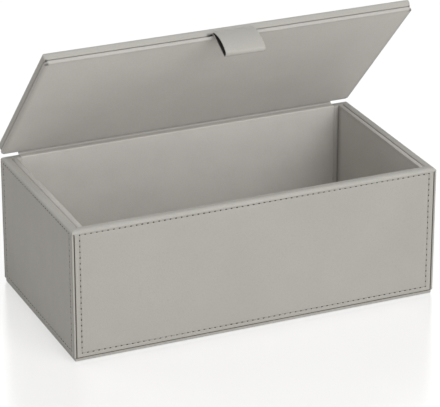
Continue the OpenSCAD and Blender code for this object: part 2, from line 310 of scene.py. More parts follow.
def wall_stations(length, strip):
    """Stations up and over the wall, and along it on its outer face."""
    end = length / 2 - strip - SEAM
    up = spread(COVER_LOW, STRIP_TOP, 7)
    up = near(up, STITCH_LOW, 1.2, 6)
    up = near(up, STITCH_LOW, 4, 3)
    up = near(up, BOX_H - STITCH_TOP, 0.6, 4)
    up = near(up, BOX_H - STITCH_TOP, 2.4, 4)
    up = near(up, COVER_LOW + 0.2, 0.2, 2)
    up = [s for s in up if COVER_LOW <= s <= STRIP_TOP]
    over = [STRIP_TOP + ARC_OUT * i / 10 for i in range(1, 11)] + [HINGE_CUT]
    over += [STRIP_TOP + ARC_OUT + FLAT * i / 2 for i in (1, 2)]
    over += [STRIP_TOP + ARC_OUT + FLAT + ARC_IN * i / 8 for i in range(1, 9)]
    down = spread(SKIN_INSIDE, SKIN_END, 8)
    along = spread(-end, end, 6)
    for side in (-1, 1):
        along = near(along, side * (length / 2 - STITCH_SIDE), 1.2, 6)
        along = near(along, side * (length / 2 - STITCH_SIDE), 4, 3)
        along = near(along, side * (end - 0.25), 0.25, 3)
        along = near(along, side * (HINGE_HALF + 0.1), 0.0, 1)
        along = near(along, side * (BOX_W / 2 - WALL_T - END_LINING_T), 1.6, 4)
    along = thin_out([x for x in along if -end <= x <= end])
    return thin_out(sorted(set(up + over + down))), along, end


def wall_leather(wall, material, inside):
    """The leather of one wall: outside and over the rim, and down the inside, where painted shade
    darkens it towards the corners. The back wall's is cut away under the hinge strip."""
    length, strip, place = WALLS[wall]
    up, along, end = wall_stations(length, strip)
    knee = length / 2 - MITRE_REACH
    room = BOX_W / 2 - WALL_T - END_LINING_T if length == BOX_W else length
    seed = sum(map(ord, wall))
    outer, inner, wear_and_painted_light = [], [], []
    for s in up:
        (d, z), (nd, nz) = skin(s)
        half = end if s <= STRIP_TOP else length / 2 - d - MITRE_GAP
        x = np.array(along)
        past = np.abs(x) > knee
        x = np.where(past, np.sign(x) * (knee + (np.abs(x) - knee) * (half - knee) / (end - knee)), x)
        seam = frame_distance(x, s, length / 2 - STITCH_SIDE, STITCH_LOW, BOX_H - STITCH_TOP)
        drop = dent(seam) if s < STRIP_TOP + 1.5 else np.zeros(len(x))
        if s <= STRIP_TOP:
            drop = drop + roll_off(half - np.abs(x), SKIN_EDGE_R)
            drop = drop + roll_off(s - COVER_LOW, SKIN_EDGE_R)
        calm = np.clip((half - np.abs(x)) / 8, 0.25, 1)
        drop = drop - WALL_WAVES * waves(x, s, seed) * calm
        pale_amount = RIM_RUB * fade(s - STRIP_TOP - ARC_OUT * 0.55, 1.5)
        edge = fade(half - np.abs(x), 0.8) if s <= STRIP_TOP else 0 * x
        for rows, out in ((outer, -drop), (inner, -LEATHER + 0 * x)):
            px, py = place(x, d + nd * out)
            rows.append(np.stack([px + 0 * x, py + 0 * x, z + nz * out], axis=1))
        # Painted shade towards the inside corners
        corner_shade = WALL_CORNER_SHADE * fade(np.abs(x) - room - 0.2, 0.6) * (s > SKIN_INSIDE)
        wear_and_painted_light.append(np.clip(pale_amount + edge, 0, 1) - corner_shade)
    middle = (np.array(along)[:-1] + np.array(along)[1:]) / 2
    rows = ((np.array(up)[:-1] + np.array(up)[1:]) / 2)[:, None]
    free = np.ones((len(rows), len(middle)), bool)
    if wall == "back":
        free = ~((rows > HINGE_CUT) & (np.abs(middle)[None, :] < HINGE_HALF + 0.1))
    wear_and_painted_light = np.concatenate([np.array(wear_and_painted_light).ravel()] * 2)
    for name, side, made_of in (("leather", rows < SKIN_INSIDE, material),
                                ("inner_leather", rows > SKIN_INSIDE, inside)):
        points, faces = shell(np.array(outer), np.array(inner), free & side)
        nodes = [f"{wall}_cover"] if made_of is material else []
        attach(piece(f"{wall}_{name}", points, faces, made_of, nodes, wear_and_painted_light), "box")


# Stitching
def seam_holes(corners):
    """Holes round a rectangle, one at each corner."""
    holes = []
    for i, a in enumerate(corners):
        b = corners[(i + 1) % 4]
        count = round(float(np.linalg.norm(b - a)) / PITCH)
        holes += [a + (b - a) * k / count for k in range(count)]
    return holes


def stitch_meshes(corners, normal, seed):
    """Rounded lengths of thread that dip into their holes, and dark pits in those holes as painted
    shade.
    """
    corners = [np.array(c, float) for c in corners]
    n = np.array(normal, float)
    holes = seam_holes(corners)
    rng = random.Random(seed)
    thread, thread_faces, pits, pit_faces = [], [], [], []
    for i, a in enumerate(holes):
        b = holes[(i + 1) % len(holes)]
        way = (b - a) / np.linalg.norm(b - a)
        side = np.cross(n, way)
        slant = STITCH_SLANT + rng.uniform(-0.03, 0.03)
        thread_faces += tube_faces(len(thread), THREAD_RINGS, THREAD_SIDES)
        for k in range(THREAD_RINGS + 1):
            u = k / THREAD_RINGS
            off = abs(2 * u - 1)
            lift = 0.05 * rng.uniform(-1, 1) * (0 < k < THREAD_RINGS) - STITCH_DIP * off**5
            centre = a + way * STITCH_GAP + (b - a - 2 * STITCH_GAP * way) * u
            centre = centre + side * slant * (2 * u - 1)
            centre = centre + n * (lift + THREAD_R - SEAM_LOW - STITCH_SUNK)
            r = THREAD_R * (0.72 + 0.28 * (1 - off**4))
            for j in range(THREAD_SIDES):
                t = 2 * math.pi * j / THREAD_SIDES
                thread.append(centre + r * (side * math.cos(t) + n * math.sin(t)))
        pit_faces += tube_faces(len(pits), 1, PIT_SIDES)
        reach = PIT_LONG + rng.uniform(-0.07, 0.07)
        for lift, size in ((PIT_TOP, 1.0), (PIT_TOP - PIT_DEPTH, 0.6)):
            for j in range(PIT_SIDES):
                t = 2 * math.pi * j / PIT_SIDES
                across = reach * math.cos(t) * way + PIT_WIDE * math.sin(t) * side
                pits.append(a + n * lift + size * across)
    return (thread, thread_faces), (pits, pit_faces)


def stitching(name, corners, normal, thread_material, hole_material, body):
    """One seam: its thread, which stands for the CAD's, and dark pits of painted shade in its holes."""
    (thread, thread_faces), (pits, pit_faces) = stitch_meshes(corners, normal, len(name) * 7)
    made = piece(f"{name}_stitches", thread, thread_faces, thread_material, sharp=80)
    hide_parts(f"{name}_stitching")
    holes = piece(f"{name}_stitch_holes", pits, pit_faces, hole_material)
    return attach(made, body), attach(holes, body)


def wall_stitching(wall, thread_material, hole_material):
    """The seam round a wall's outer face."""
    length, _, place = WALLS[wall]
    half, low, high = length / 2 - STITCH_SIDE, STITCH_LOW, BOX_H - STITCH_TOP
    corners = [(*place(x, 0), z) for x, z in ((-half, low), (half, low), (half, high), (-half, high))]
    out = np.array(place(0, -1)) - np.array(place(0, 0))
    return stitching(wall, corners, (*out, 0), thread_material, hole_material, "box")


def lid_stitching(thread_material, hole_material):
    """The seam round the lid's upper side."""
    x, y = LID_W / 2 - STITCH_LID, LID_D / 2 - STITCH_LID
    corners = opened([(-x, -y, LID_TOP), (x, -y, LID_TOP), (x, y, LID_TOP), (-x, y, LID_TOP)])
    up = opened([(0, 0, 1)]) - opened([(0, 0, 0)])
    return stitching("lid", list(corners), up[0], thread_material, hole_material, "lid")


# Edge strips at the upright corners
def edge_strip(name, mirror_x, mirror_y, material):
    """An L of turned leather with rounded edges."""
    section = arc((STRIP_R, STRIP_R), STRIP_R, 180, 270, 6)
    section += arc((STRIP_W - STRIP_END_R, STRIP_END_R), STRIP_END_R, 270, 360, 4)
    section += [(STRIP_W, LEATHER), (LEATHER, LEATHER), (LEATHER, STRIP_D)]
    section += arc((STRIP_END_R, STRIP_D - STRIP_END_R), STRIP_END_R, 90, 180, 4)
    section = np.array(section)
    heights = thin_out(near(near(spread(COVER_LOW, STRIP_TOP, 3), COVER_LOW + 0.2, 0.2, 2),
                            STRIP_TOP - 0.2, 0.2, 2))
    grid = []
    middle = section.mean(0)
    for z in heights:
        shrink = 1 - 0.16 * float(roll_off(min(z - COVER_LOW, STRIP_TOP - z), 0.4)) / 0.4
        wobble = 0.035 * float(waves(z, 3.0 * mirror_x + mirror_y, len(name), 22))
        p = middle + (section - middle) * shrink + wobble * 0.5
        p = np.maximum(p, 0)
        x, y = mirror_x * (p[:, 0] - BOX_W / 2), mirror_y * (p[:, 1] - BOX_D / 2)
        grid.append(np.stack([x, y, np.full(len(p), z)], axis=1))
    points = np.concatenate(grid)
    faces = tube_faces(0, len(grid) - 1, len(section))
    # Worn pale, and paler still as a painted highlight
    wear_and_painted_light = np.full(len(points), STRIP_WEAR_AND_HIGHLIGHT)
    node = name.replace("_binding", "_edge_strip")
    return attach(piece(name, points, faces, material, [node], wear_and_painted_light), "box")


# Slabs with a rounded outline: lid, lid lining, floor and bottom
def side_stations(end):
    """Even stations along one side of a slab, with close ones near its corners."""
    close = {side * (end - step) for side in (-1, 1) for step in (0.4, 0.9, 1.6, 2.6)}
    return close | set(spread(-end, end, 6))


def outline(width, depth, radius, extra=()):
    """Stations round a rounded rectangle, with the way out at each. extra are crosswise stations."""
    half = (width / 2, depth / 2)
    xs, ys = (side_stations(h - radius) for h in half)
    xs = thin_out([v for v in sorted(xs | set(extra)) if abs(v) <= half[0] - radius])
    ys = thin_out(sorted(ys))
    at, out = [], []

    def corner(cx, cy, start):
        for i in range(1, 6):
            t = math.radians(start + 90 * i / 6)
            at.append((cx * (half[0] - radius), cy * (half[1] - radius)))
            out.append((math.cos(t), math.sin(t)))

    for x in xs:
        at.append((x, -half[1] + radius))
        out.append((0, -1))
    corner(1, -1, 270)
    for y in ys:
        at.append((half[0] - radius, y))
        out.append((1, 0))
    corner(1, 1, 0)
    for x in reversed(xs):
        at.append((x, half[1] - radius))
        out.append((0, 1))
    corner(-1, 1, 90)
    for y in reversed(ys):
        at.append((-half[0] + radius, y))
        out.append((-1, 0))
    corner(-1, -1, 180)
    return np.array(at), np.array(out)


def ring(width, depth, radius, inset, z, plan):
    """One ring of a slab, drawn in by inset."""
    at, out = plan
    left = max(radius - inset, 0.25)
    half = np.array([width / 2 - radius, depth / 2 - radius])
    new_half = np.array([width / 2 - inset - left, depth / 2 - inset - left])
    moved = at * (new_half / half)
    moved = np.where(np.abs(out) > 0.999, np.sign(out) * new_half, moved)
    for axis in (0, 1):
        straight = np.abs(out[:, 1 - axis]) > 0.999
        keep = np.clip(at[:, axis], -new_half[axis], new_half[axis])
        moved[:, axis] = np.where(straight, keep, moved[:, axis])
    xy = moved + out * left
    return np.concatenate([xy, np.full((len(xy), 1), z)], axis=1)


def slab_leather(profile, width, depth, radius, extra=()):
    """Outer and inner grids of leather round a slab. The profile is inset and height, and the
    inner side lies SLAB_LEATHER towards the slab's middle, whichever way the profile runs."""
    plan = outline(width, depth, radius, extra)
    outer = [ring(width, depth, radius, i, z, plan) for i, z in profile]
    inner = []
    inward = 1 if profile[-1][1] < profile[0][1] else -1
    for k, (i, z) in enumerate(profile):
        a, b = np.array(profile[max(k - 1, 0)]), np.array(profile[min(k + 1, len(profile) - 1)])
        way = (b - a) / np.linalg.norm(b - a)
        side = np.array([-way[1], way[0]]) * inward * SLAB_LEATHER
        inner.append(ring(width, depth, radius, i + side[0], z + side[1], plan))
    return np.array(outer), np.array(inner)


def lid_leather(material):
    """The lid's cover, turned in under its board, with room for the pull loop and the hinge."""
    r, g = LID_TOP_R, LID_GROOVE_R
    low = LID_SPLIT + CREVICE_HALF
    profile = [(TURN_IN, LID_SPLIT), (TURN_IN / 2, LID_SPLIT), (CREVICE_DEPTH, LID_SPLIT)]
    profile += [(CREVICE_DEPTH - 0.35, low)]
    profile += [(g - a, b) for a, b in arc((0, low + g), g, 270, 360, 6)]
    profile += [(0, LID_TOP - r - 0.8)]
    profile += [(r - a, b) for a, b in arc((0, LID_TOP - r), r, 0, 90, 8)]
    flat = [2.1, 2.5, 2.8, 3.0, 3.2, 3.4, 3.6, 3.8, 4.0, 4.2, 4.5, 4.9, 5.6, 6.8, 8.5]
    profile += [(i, LID_TOP - float(dent(abs(i - STITCH_LID)))) for i in flat]
    profile += [(12, LID_TOP), (20, LID_TOP)]
    slot, hinge, lifted = LOOP_W / 2 + 0.1, HINGE_HALF + 0.1, 4.5
    extra = [s * (v + e) for s in (-1, 1) for v in (slot, hinge) for e in (-0.12, 0.12)]
    extra += [-slot - lifted * k / 8 for k in range(1, 9)]
    outer, inner = slab_leather(profile, LID_W, LID_D, LID_CORNER_R, extra)
    for grid, more in ((outer, 0.0), (inner, 0.12)):
        x, y, z = grid[..., 0], grid[..., 1], grid[..., 2]
        at_loop = (np.abs(x) < slot) & (y < 0)
        at_hinge = (np.abs(x) < hinge) & (y > 0)
        beside = np.clip((x + slot + lifted) / lifted, 0, 1) * (y < 0)
        beside = beside * (x < -slot) * (x > -slot - lifted)
        floor = np.where(at_loop, LID_SPLIT + 2 * LOOP_T + 0.02, 0)
        floor = np.where(beside > 0, LID_SPLIT + 1.3 * LOOP_T * beside, floor)
        floor = np.where(at_hinge, LID_SPLIT + LEATHER + 0.02, floor)
        grid[..., 2] = np.where(floor > 0, np.maximum(z, floor + more), z)
    uneven(outer, 11, LID_W, LID_D)
    return finish_slab("lid_leather", outer, inner, material, "leather", "lid_cover", "lid")


def lid_lining(material):
    """The second layer under the lid, with its leather turned in over its card."""
    g, e = LID_GROOVE_R, LINING_EDGE_R
    high = LID_SPLIT - CREVICE_HALF
    profile = [(TURN_IN, LID_SPLIT), (TURN_IN / 2, LID_SPLIT), (CREVICE_DEPTH, LID_SPLIT)]
    profile += [(CREVICE_DEPTH - 0.35, high)]
    profile += [(g - a, b) for a, b in arc((0, high - g), g, 90, 0, 6)]
    profile += [(e - a, b) for a, b in arc((0, LID_LOW + e), e, 0, -90, 6)]
    profile += [(3, LID_LOW), (8, LID_LOW), (20, LID_LOW)]
    outer, inner = slab_leather(profile, LID_W, LID_D, LID_CORNER_R)
    uneven(outer, 23, LID_W, LID_D)
    return finish_slab("lid_inner_leather", outer, inner, material, "lining_leather", "lid_lining",
                       "lid")


def uneven(grid, seed, width, depth):
    """Lets a slab's sides wander by a few hundredths of a millimetre, and folds a small notch into
    each corner beside the lid's groove."""
    x, y = grid[..., 0], grid[..., 1]
    corner = np.hypot(width / 2 - np.abs(x), depth / 2 - np.abs(y))
    z = grid[..., 2]
    notch = 1.3 * fade(z - LID_SPLIT, 0.7) + 0.8 * fade(z - LID_LOW, 0.6)
    notch = notch * fade(corner, 1.3, 4)
    grid[..., 0] -= np.sign(x) * notch
    grid[..., 1] -= np.sign(y) * notch
    side = np.clip(1 - np.minimum(width / 2 - np.abs(x), depth / 2 - np.abs(y)) / 6, 0, 1)
    shift = SLAB_WAVES * waves(x, y, seed, 35) * side
    scale = shift / np.maximum(np.hypot(x, y), 1)
    grid[..., 0] -= np.abs(scale) * x
    grid[..., 1] -= np.abs(scale) * y


def shadow_lines(points):
    """How far the lid's leather darkens in its groove and corner folds, at the hinge and beside
    the loop."""
    x, y, z = points.T
    groove = GROOVE_SHADOW * fade(z - LID_SPLIT, 0.32)
    corner = np.hypot(LID_W / 2 - np.abs(x), LID_D / 2 - np.abs(y))
    folds = fade(z - LID_SPLIT, 0.75, 4) + fade(z - LID_LOW, 0.6, 4)
    folds = FOLD_SHADOW * folds * fade(corner, 2.0, 6)
    at_hinge = HINGE_SHADOW * fade(LID_D / 2 - y, 1.8) * (z < LID_SPLIT)
    beside = np.clip(1 - np.abs(x + LOOP_W / 2 + 1.6) / 3.2, 0, 1) * (y < -LID_D / 2 + 2.5)
    opening = LOOP_SHADOW * beside * fade(z - LID_SPLIT - 0.35, 0.75, 4)
    return np.clip(groove + at_hinge + opening + folds, 0, SHADOW_MOST)


def finish_slab(name, outer, inner, material, slot, node, body):
    """A slab's piece from its grids. Near the box's outline leather is worn pale, and lining darkened
    with painted shade.
    """
    points, faces = shell(outer, inner, loop=True, cap=True)
    x, y = points[:, 0], points[:, 1]
    edge = np.minimum(LID_W / 2 - np.abs(x), LID_D / 2 - np.abs(y))
    # Leather edges worn pale, lining edges in painted shade
    turned = LID_EDGE_RUB if slot == "leather" else LINING_EDGE_SHADE
    wear_and_painted_light = fade(edge, 1.4) * turned * (y < LID_D / 2 - 3)
    if body == "lid":
        wear_and_painted_light = wear_and_painted_light - shadow_lines(points)
        points = opened(points)
    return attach(piece(name, points, faces, material, [node], wear_and_painted_light), body)


def floor_lining(material):
    """The floor's lining, a soft-edged panel between the walls."""
    w = BOX_W - 2 * WALL_T - 2 * END_LINING_T - 2 * LINING_GAP
    d = BOX_D - 2 * WALL_T - 2 * LINING_GAP
    profile = [(0, FLOOR_LOW), (0, FLOOR_TOP - 0.9)]
    profile += [(0.9 - a, b) for a, b in arc((0, FLOOR_TOP - 0.9), 0.9, 0, 90, 6)]
    profile += [(1.6, FLOOR_TOP + 0.01), (3, FLOOR_TOP), (10, FLOOR_TOP)]
    outer, inner = slab_leather(profile, w, d, 0.8)
    return finish_slab("floor_leather", outer, inner, material, "lining_leather", "floor_lining",
                       "box")


def bottom_leather(material):
    """The bottom's leather, turned up round its card."""
    w, d = BOX_W - 2 * BOTTOM_INSET, BOX_D - 2 * BOTTOM_INSET
    profile = [(0, BOTTOM_T), (0, 0.9)]
    profile += [(0.5 - a, b) for a, b in arc((0, 0.5), 0.5, 0, -90, 5)]
    profile += [(2, 0), (10, 0)]
    outer, inner = slab_leather(profile, w, d, 0.9)
    return finish_slab("bottom_leather", outer, inner, material, "leather", "bottom_cover", "box")


# Linings at the two ends
def end_lining(side, material):
    """Leather over the card at one end, with its soft upper edge beside the rim. Painted shade darkens
    it at that edge, in the groove beside the rim and at the upright corners."""
    a, b, r, q = WALL_T, WALL_T + END_LINING_T, CREST_R_RIM, CREST_R_ROOM
    top = BOX_H
    path = [(a, FLOOR_LOW), (a, 40), (a, top - r - 1)]
    path += arc((a + r, top - r), r, 180, 90, 8) + arc((b - q, top - q), q, 90, 0, 6)
    path += [(b, z) for z in (top - 3, top - 8, 60, 40, 20, FLOOR_LOW)]
    half = BOX_D / 2 - WALL_T - LINING_GAP
    along = thin_out(near(near(spread(-half, half, 5), half - 0.3, 0.3, 3), -half + 0.3, 0.3, 3))
    along = [y for y in along if -half <= y <= half]
    outer, inner = ribbon_sides(path, LEATHER)
    seed = 5 if side < 0 else 9
    rows_out, rows_in = [], []
    for (d, z), (d_in, z_in) in zip(outer, inner):
        y = np.array(along)
        soft = roll_off(half - np.abs(y), SKIN_EDGE_R)
        bulge = LINING_WAVES * waves(y, z, seed, 30) * (z < top - 0.2)
        wide = BOX_W / 2 - d + soft * (d > b - 0.4) + bulge
        soft = soft * (z > top - 4)
        rows_out.append(np.stack([side * wide, y, z - soft], axis=1))
        rows_in.append(np.stack([side * (BOX_W / 2 - d_in) + 0 * y, y, z_in - soft], axis=1))
    points, faces = shell(np.array(rows_out), np.array(rows_in))
    x, y, z = points.T
    # Painted shade at the crest, at the upright corners and in the groove beside the rim
    wear_and_painted_light = LINING_EDGE_SHADE * fade(z - top, 2.0)
    wear_and_painted_light -= LINING_CORNER_SHADE * fade(half - np.abs(y), 0.9) * (z < top - 1)
    wear_and_painted_light -= RIM_GROOVE_SHADE * fade(BOX_W / 2 - np.abs(x) - a, 0.35) * (z > top - 3)
    word = "left" if side < 0 else "right"
    made = piece(f"{word}_end_leather", points, faces, material,
                 [f"{word}_lining"], wear_and_painted_light)
    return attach(made, "box")


def ribbon_sides(path, thickness, both=False):
    """The two sides of a ribbon. The path is its outer side, or its middle with both."""
    p = np.array(path, float)
    way = np.gradient(p, axis=0)
    way /= np.linalg.norm(way, axis=1)[:, None]
    left = np.stack([-way[:, 1], way[:, 0]], axis=1)
    if both:
        return p + left * thickness / 2, p - left * thickness / 2
    return p, p - left * thickness


def smooth_path(points, gap):
    """A smooth curve through the points, with about even stations."""
    p = np.array(points, float)
    p = np.concatenate([[2 * p[0] - p[1]], p, [2 * p[-1] - p[-2]]])
    made = []
    for i in range(1, len(p) - 2):
        a, b, c, d = p[i - 1 : i + 3]
        steps = max(1, round(float(np.linalg.norm(c - b)) / gap))
        for t in np.arange(steps) / steps:
            made.append(
                0.5 * (2 * b + (c - a) * t + (2 * a - 5 * b + 4 * c - d) * t**2
                       + (3 * b - a - 3 * c + d) * t**3)
            )
    made.append(p[-2])
    return np.array(made)


def ribbon(path, thickness, half, edge, wander, seed, shift=0.0):
    """A strip of leather along X. The path is depth and height, and the long edges are rounded.
    A shift moves the strip towards the left of its path."""
    outer, inner = ribbon_sides(path, thickness, both=True)
    along = spread(-half, half, 5)
    for side in (-1, 1):
        along = near(along, side * (half - edge / 2), edge / 2, 3)
    along = np.array(thin_out([x for x in along if -half <= x <= half]))
    soft = roll_off(half - np.abs(along), edge)[None, :]
    middle = (outer + inner) / 2
    normal = (outer - inner) / thickness
    length = np.concatenate([[0], np.cumsum(np.linalg.norm(np.diff(middle, axis=0), axis=1))])
    wave = wander * waves(along[None, :], length[:, None], seed, 18)
    rows = []
    for sign in (1, -1):
        lift = sign * (thickness / 2 - soft * 0.8) + wave + shift
        p = middle[:, None, :] + normal[:, None, :] * lift[..., None]
        x = np.broadcast_to(along[None, :], p.shape[:2])
        rows.append(np.stack([x, p[..., 0], p[..., 1]], axis=-1))
    return rows


# Hinge
def hinge_strip(material):
    """One strip from the inside of the back wall, over the rim and the fold, into the lid. It is
    painted with shade where it is bent between the two, and painted lighter in the box."""

    def y(d):
        return BOX_D / 2 - d

    inside = WALL_T - LEATHER / 2
    box_part = [(y(inside), z) for z in (FLOOR_LOW, 20, 40, 60, 75, BOX_H - RIM_INNER_R)]
    turn = arc((y(WALL_T - RIM_INNER_R), BOX_H - RIM_INNER_R), RIM_INNER_R - LEATHER / 2, 180, 90, 5)
    box_part += turn[1:]
    rim = BOX_H - LEATHER / 2
    box_part += [(y(2.4), rim), (y(1.3), rim)]
    free = [(y(0.55), rim + 0.06), (y(-0.1), rim + 0.55), (y(-0.6), rim + 1.3), (HINGE_Y, HINGE_Z)]
    lid_mid = LID_SPLIT + LEATHER / 2
    lid_part = [(y(0.45), lid_mid - 0.12), (y(1.2), lid_mid), (y(4), lid_mid), (y(9), lid_mid),
                (y(TURN_IN), lid_mid)]
    lid_part = opened([(0, *p) for p in lid_part])[:, 1:]
    path = smooth_path(box_part + free + [tuple(p) for p in lid_part], 0.45)
    wide = np.linalg.norm(np.diff(path, axis=0), axis=1)
    # Close stations only at the top, where the strip bends
    keep = [0]
    for i in range(1, len(path)):
        if path[i][1] > 82 or sum(wide[keep[-1] : i]) > 5:
            keep.append(i)
    path = path[keep]
    outer, inner = ribbon(path, LEATHER, HINGE_HALF, 0.25, 0.0, 3)
    points, faces = shell(outer, inner)
    # Painted shade from the fold into the lid, and painted light on the part in the box
    wear_and_painted_light = np.where(points[:, 2] > BOX_H + 0.3, HINGE_FOLD_SHADE, HINGE_BOX_PART_LIGHT)
    nodes = ["hinge_strip_box_leaf", "hinge_strip_lid_leaf"]
    made = piece("hinge_strip", points, faces, material, nodes, wear_and_painted_light)
    end = Vector(opened([(0, y(0.3), lid_mid - 0.25)])[0]) * MM
    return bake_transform(made)


# Pull loop
def left_of(heading):
    """The way to the left of a heading, as depth and height."""
    t = math.radians(heading)
    return np.array([-math.sin(t), math.cos(t)])


def bend(centre, radius, start, end, steps):
    """Points on a left turn round a centre, from after one heading to another."""
    return [centre - radius * left_of(h) for h in np.linspace(start, end, steps + 1)[1:]]


def loop_path():
    """The middle of the strip: out of the lid, over its curl, down its bulging front, back up."""
    ply = LOOP_T / 2
    fold = np.array([-LOOP_OUT, LID_SPLIT + LOOP_T])
    front_start = 180 + LOOP_CURL_TURN
    nose_start = front_start + LOOP_FRONT_TURN
    curl = fold + LOOP_CURL_R * left_of(180)
    front = curl + (LOOP_FRONT_R - LOOP_CURL_R) * left_of(front_start)
    nose = front + (LOOP_NOSE_R - LOOP_FRONT_R) * left_of(nose_start)
    back = fold - nose
    turn = math.degrees(math.atan2(back[1], back[0]) + math.asin(LOOP_NOSE_R / np.linalg.norm(back)))
    path = [np.array([d, LID_SPLIT + LOOP_T + ply]) for d in (LOOP_ROOT - 1, 6, 1.5, 0, -LOOP_OUT)]
    for k in (0.25, 0.5, 0.75, 1.0):
        path.append(curl - (LOOP_CURL_R + ply * (1 - k)) * left_of(180 + LOOP_CURL_TURN * k))
    path += bend(front, LOOP_FRONT_R, front_start, nose_start, 5)
    path += bend(nose, LOOP_NOSE_R, nose_start, 360 + turn, 7)
    low = path[-1]
    path += [low + (fold - low) * k for k in (0.25, 0.5, 0.75, 0.9)]
    path += [np.array([d, z]) for d, z in ((-0.55, LID_SPLIT + 0.1), (0.1, LID_SPLIT + ply - 0.03))]
    path += [np.array([d, LID_SPLIT + ply]) for d in (1.0, 6, LOOP_ROOT - 1)]
    return smooth_path(path, 0.35)


def pull_loop(material, dark_layer):
    """A folded strip of leather with a dark layer inside. Its front bulges most at the left."""
    front = -LID_D / 2
    path = loop_path()
    pivot = LID_SPLIT + LOOP_T
    start = Vector(opened([(0, front - 0.2, pivot)])[0]) * MM
    end = Vector(opened([(0, front - 1.9, pivot - 1.6)])[0]) * MM
    half = LOOP_W / 2
    layers = (
        ("pull_loop_strip", LOOP_T - LOOP_DARK_LAYER, -LOOP_DARK_LAYER / 2, half, 0.26, material),
        ("pull_loop_dark_layer", LOOP_DARK_LAYER, (LOOP_T - LOOP_DARK_LAYER) / 2 + 0.01, half - 0.3, 0.05,
         dark_layer),
    )
    fold, low = np.array([-LOOP_OUT, pivot]), path[path[:, 1].argmin()]
    for name, thickness, shift, half, edge, made_of in layers:
        points, faces = shell(*ribbon(path, thickness, half, edge, LOOP_WAVES, 8, shift))
        down = np.clip((pivot - points[:, 2]) / (pivot - low[1]), 0, 1)
        bulge = np.clip(fold[0] + (low[0] - fold[0]) * down - points[:, 1], 0, None)
        at_left = fade(points[:, 0] + LOOP_W / 2, LOOP_FLARE_REACH)
        points[:, 1] -= LOOP_FLARE * bulge * at_left * (down > 0)
        points[:, 1] += front
        # Painted light over the whole loop, and a painted highlight growing towards its lower end
        wear_and_painted_light = LOOP_LIGHT + LOOP_LOW_HIGHLIGHT * np.clip((LID_SPLIT - points[:, 2]) / 18, 0, 1)
        nodes = ["pull_loop_root", "pull_loop"] if made_of is material else []
        made = piece(name, opened(points), faces, made_of, nodes, wear_and_painted_light)
        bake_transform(made)


# Materials
def linear(r, g, b):
    """A colour as it is seen, from 0 to 255, as the shader takes it."""
    made = []
    for v in (r, g, b):
        v /= 255
        made.append(v / 12.92 if v <= 0.04045 else ((v + 0.055) / 1.055) ** 2.4)
    return (*made, 1.0)


class Nodes:
    """Builds a material's node tree, one node a call."""

    def __init__(self, name):
        self.material = bpy.data.materials.new(name)
        self.material.use_nodes = True
        self.tree = self.material.node_tree
        self.tree.nodes.clear()
        self.output = self.tree.nodes.new("ShaderNodeOutputMaterial")

    def add(self, kind, settings=None, **inputs):
        made = self.tree.nodes.new(kind)
        for key, value in (settings or {}).items():
            setattr(made, key, value)
        for key, value in inputs.items():
            self.put(made, key.replace("_", " "), value)
        return made

    def put(self, made, key, value):
        socket = made.inputs[int(key)] if key.isdigit() else made.inputs[key]
        if isinstance(value, bpy.types.NodeSocket):
            self.tree.links.new(value, socket)
        else:
            socket.default_value = value

    def math(self, operation, a, b):
        made = self.tree.nodes.new("ShaderNodeMath")
        made.operation = operation
        self.put(made, "0", a)
        self.put(made, "1", b)
        return made.outputs[0]

    def noise(self, at, scale, detail=2.0, roughness=0.5):
        made = self.add("ShaderNodeTexNoise", None, Scale=scale, Detail=detail, Roughness=roughness)
        self.put(made, "Vector", at)
        return made.outputs["Fac"]

    def spread(self, value, low, high, to_low, to_high):
        made = self.tree.nodes.new("ShaderNodeMapRange")
        self.put(made, "Value", value)
        for key, v in (("From Min", low), ("From Max", high), ("To Min", to_low), ("To Max", to_high)):
            self.put(made, key, v)
        return made.outputs[0]

    def mix(self, amount, a, b, blend="MIX"):
        made = self.tree.nodes.new("ShaderNodeMix")
        made.data_type = "RGBA"
        made.blend_type = blend
        self.put(made, "0", amount)
        for index, value in ((6, a), (7, b)):
            self.put(made, str(index), value)
        return made.outputs[2]

    def finish(self, shader):
        self.tree.links.new(shader, self.output.inputs["Surface"])
        return self.material


def shade(colour, factor):
    return (*(c * factor for c in colour[:3]), 1.0)


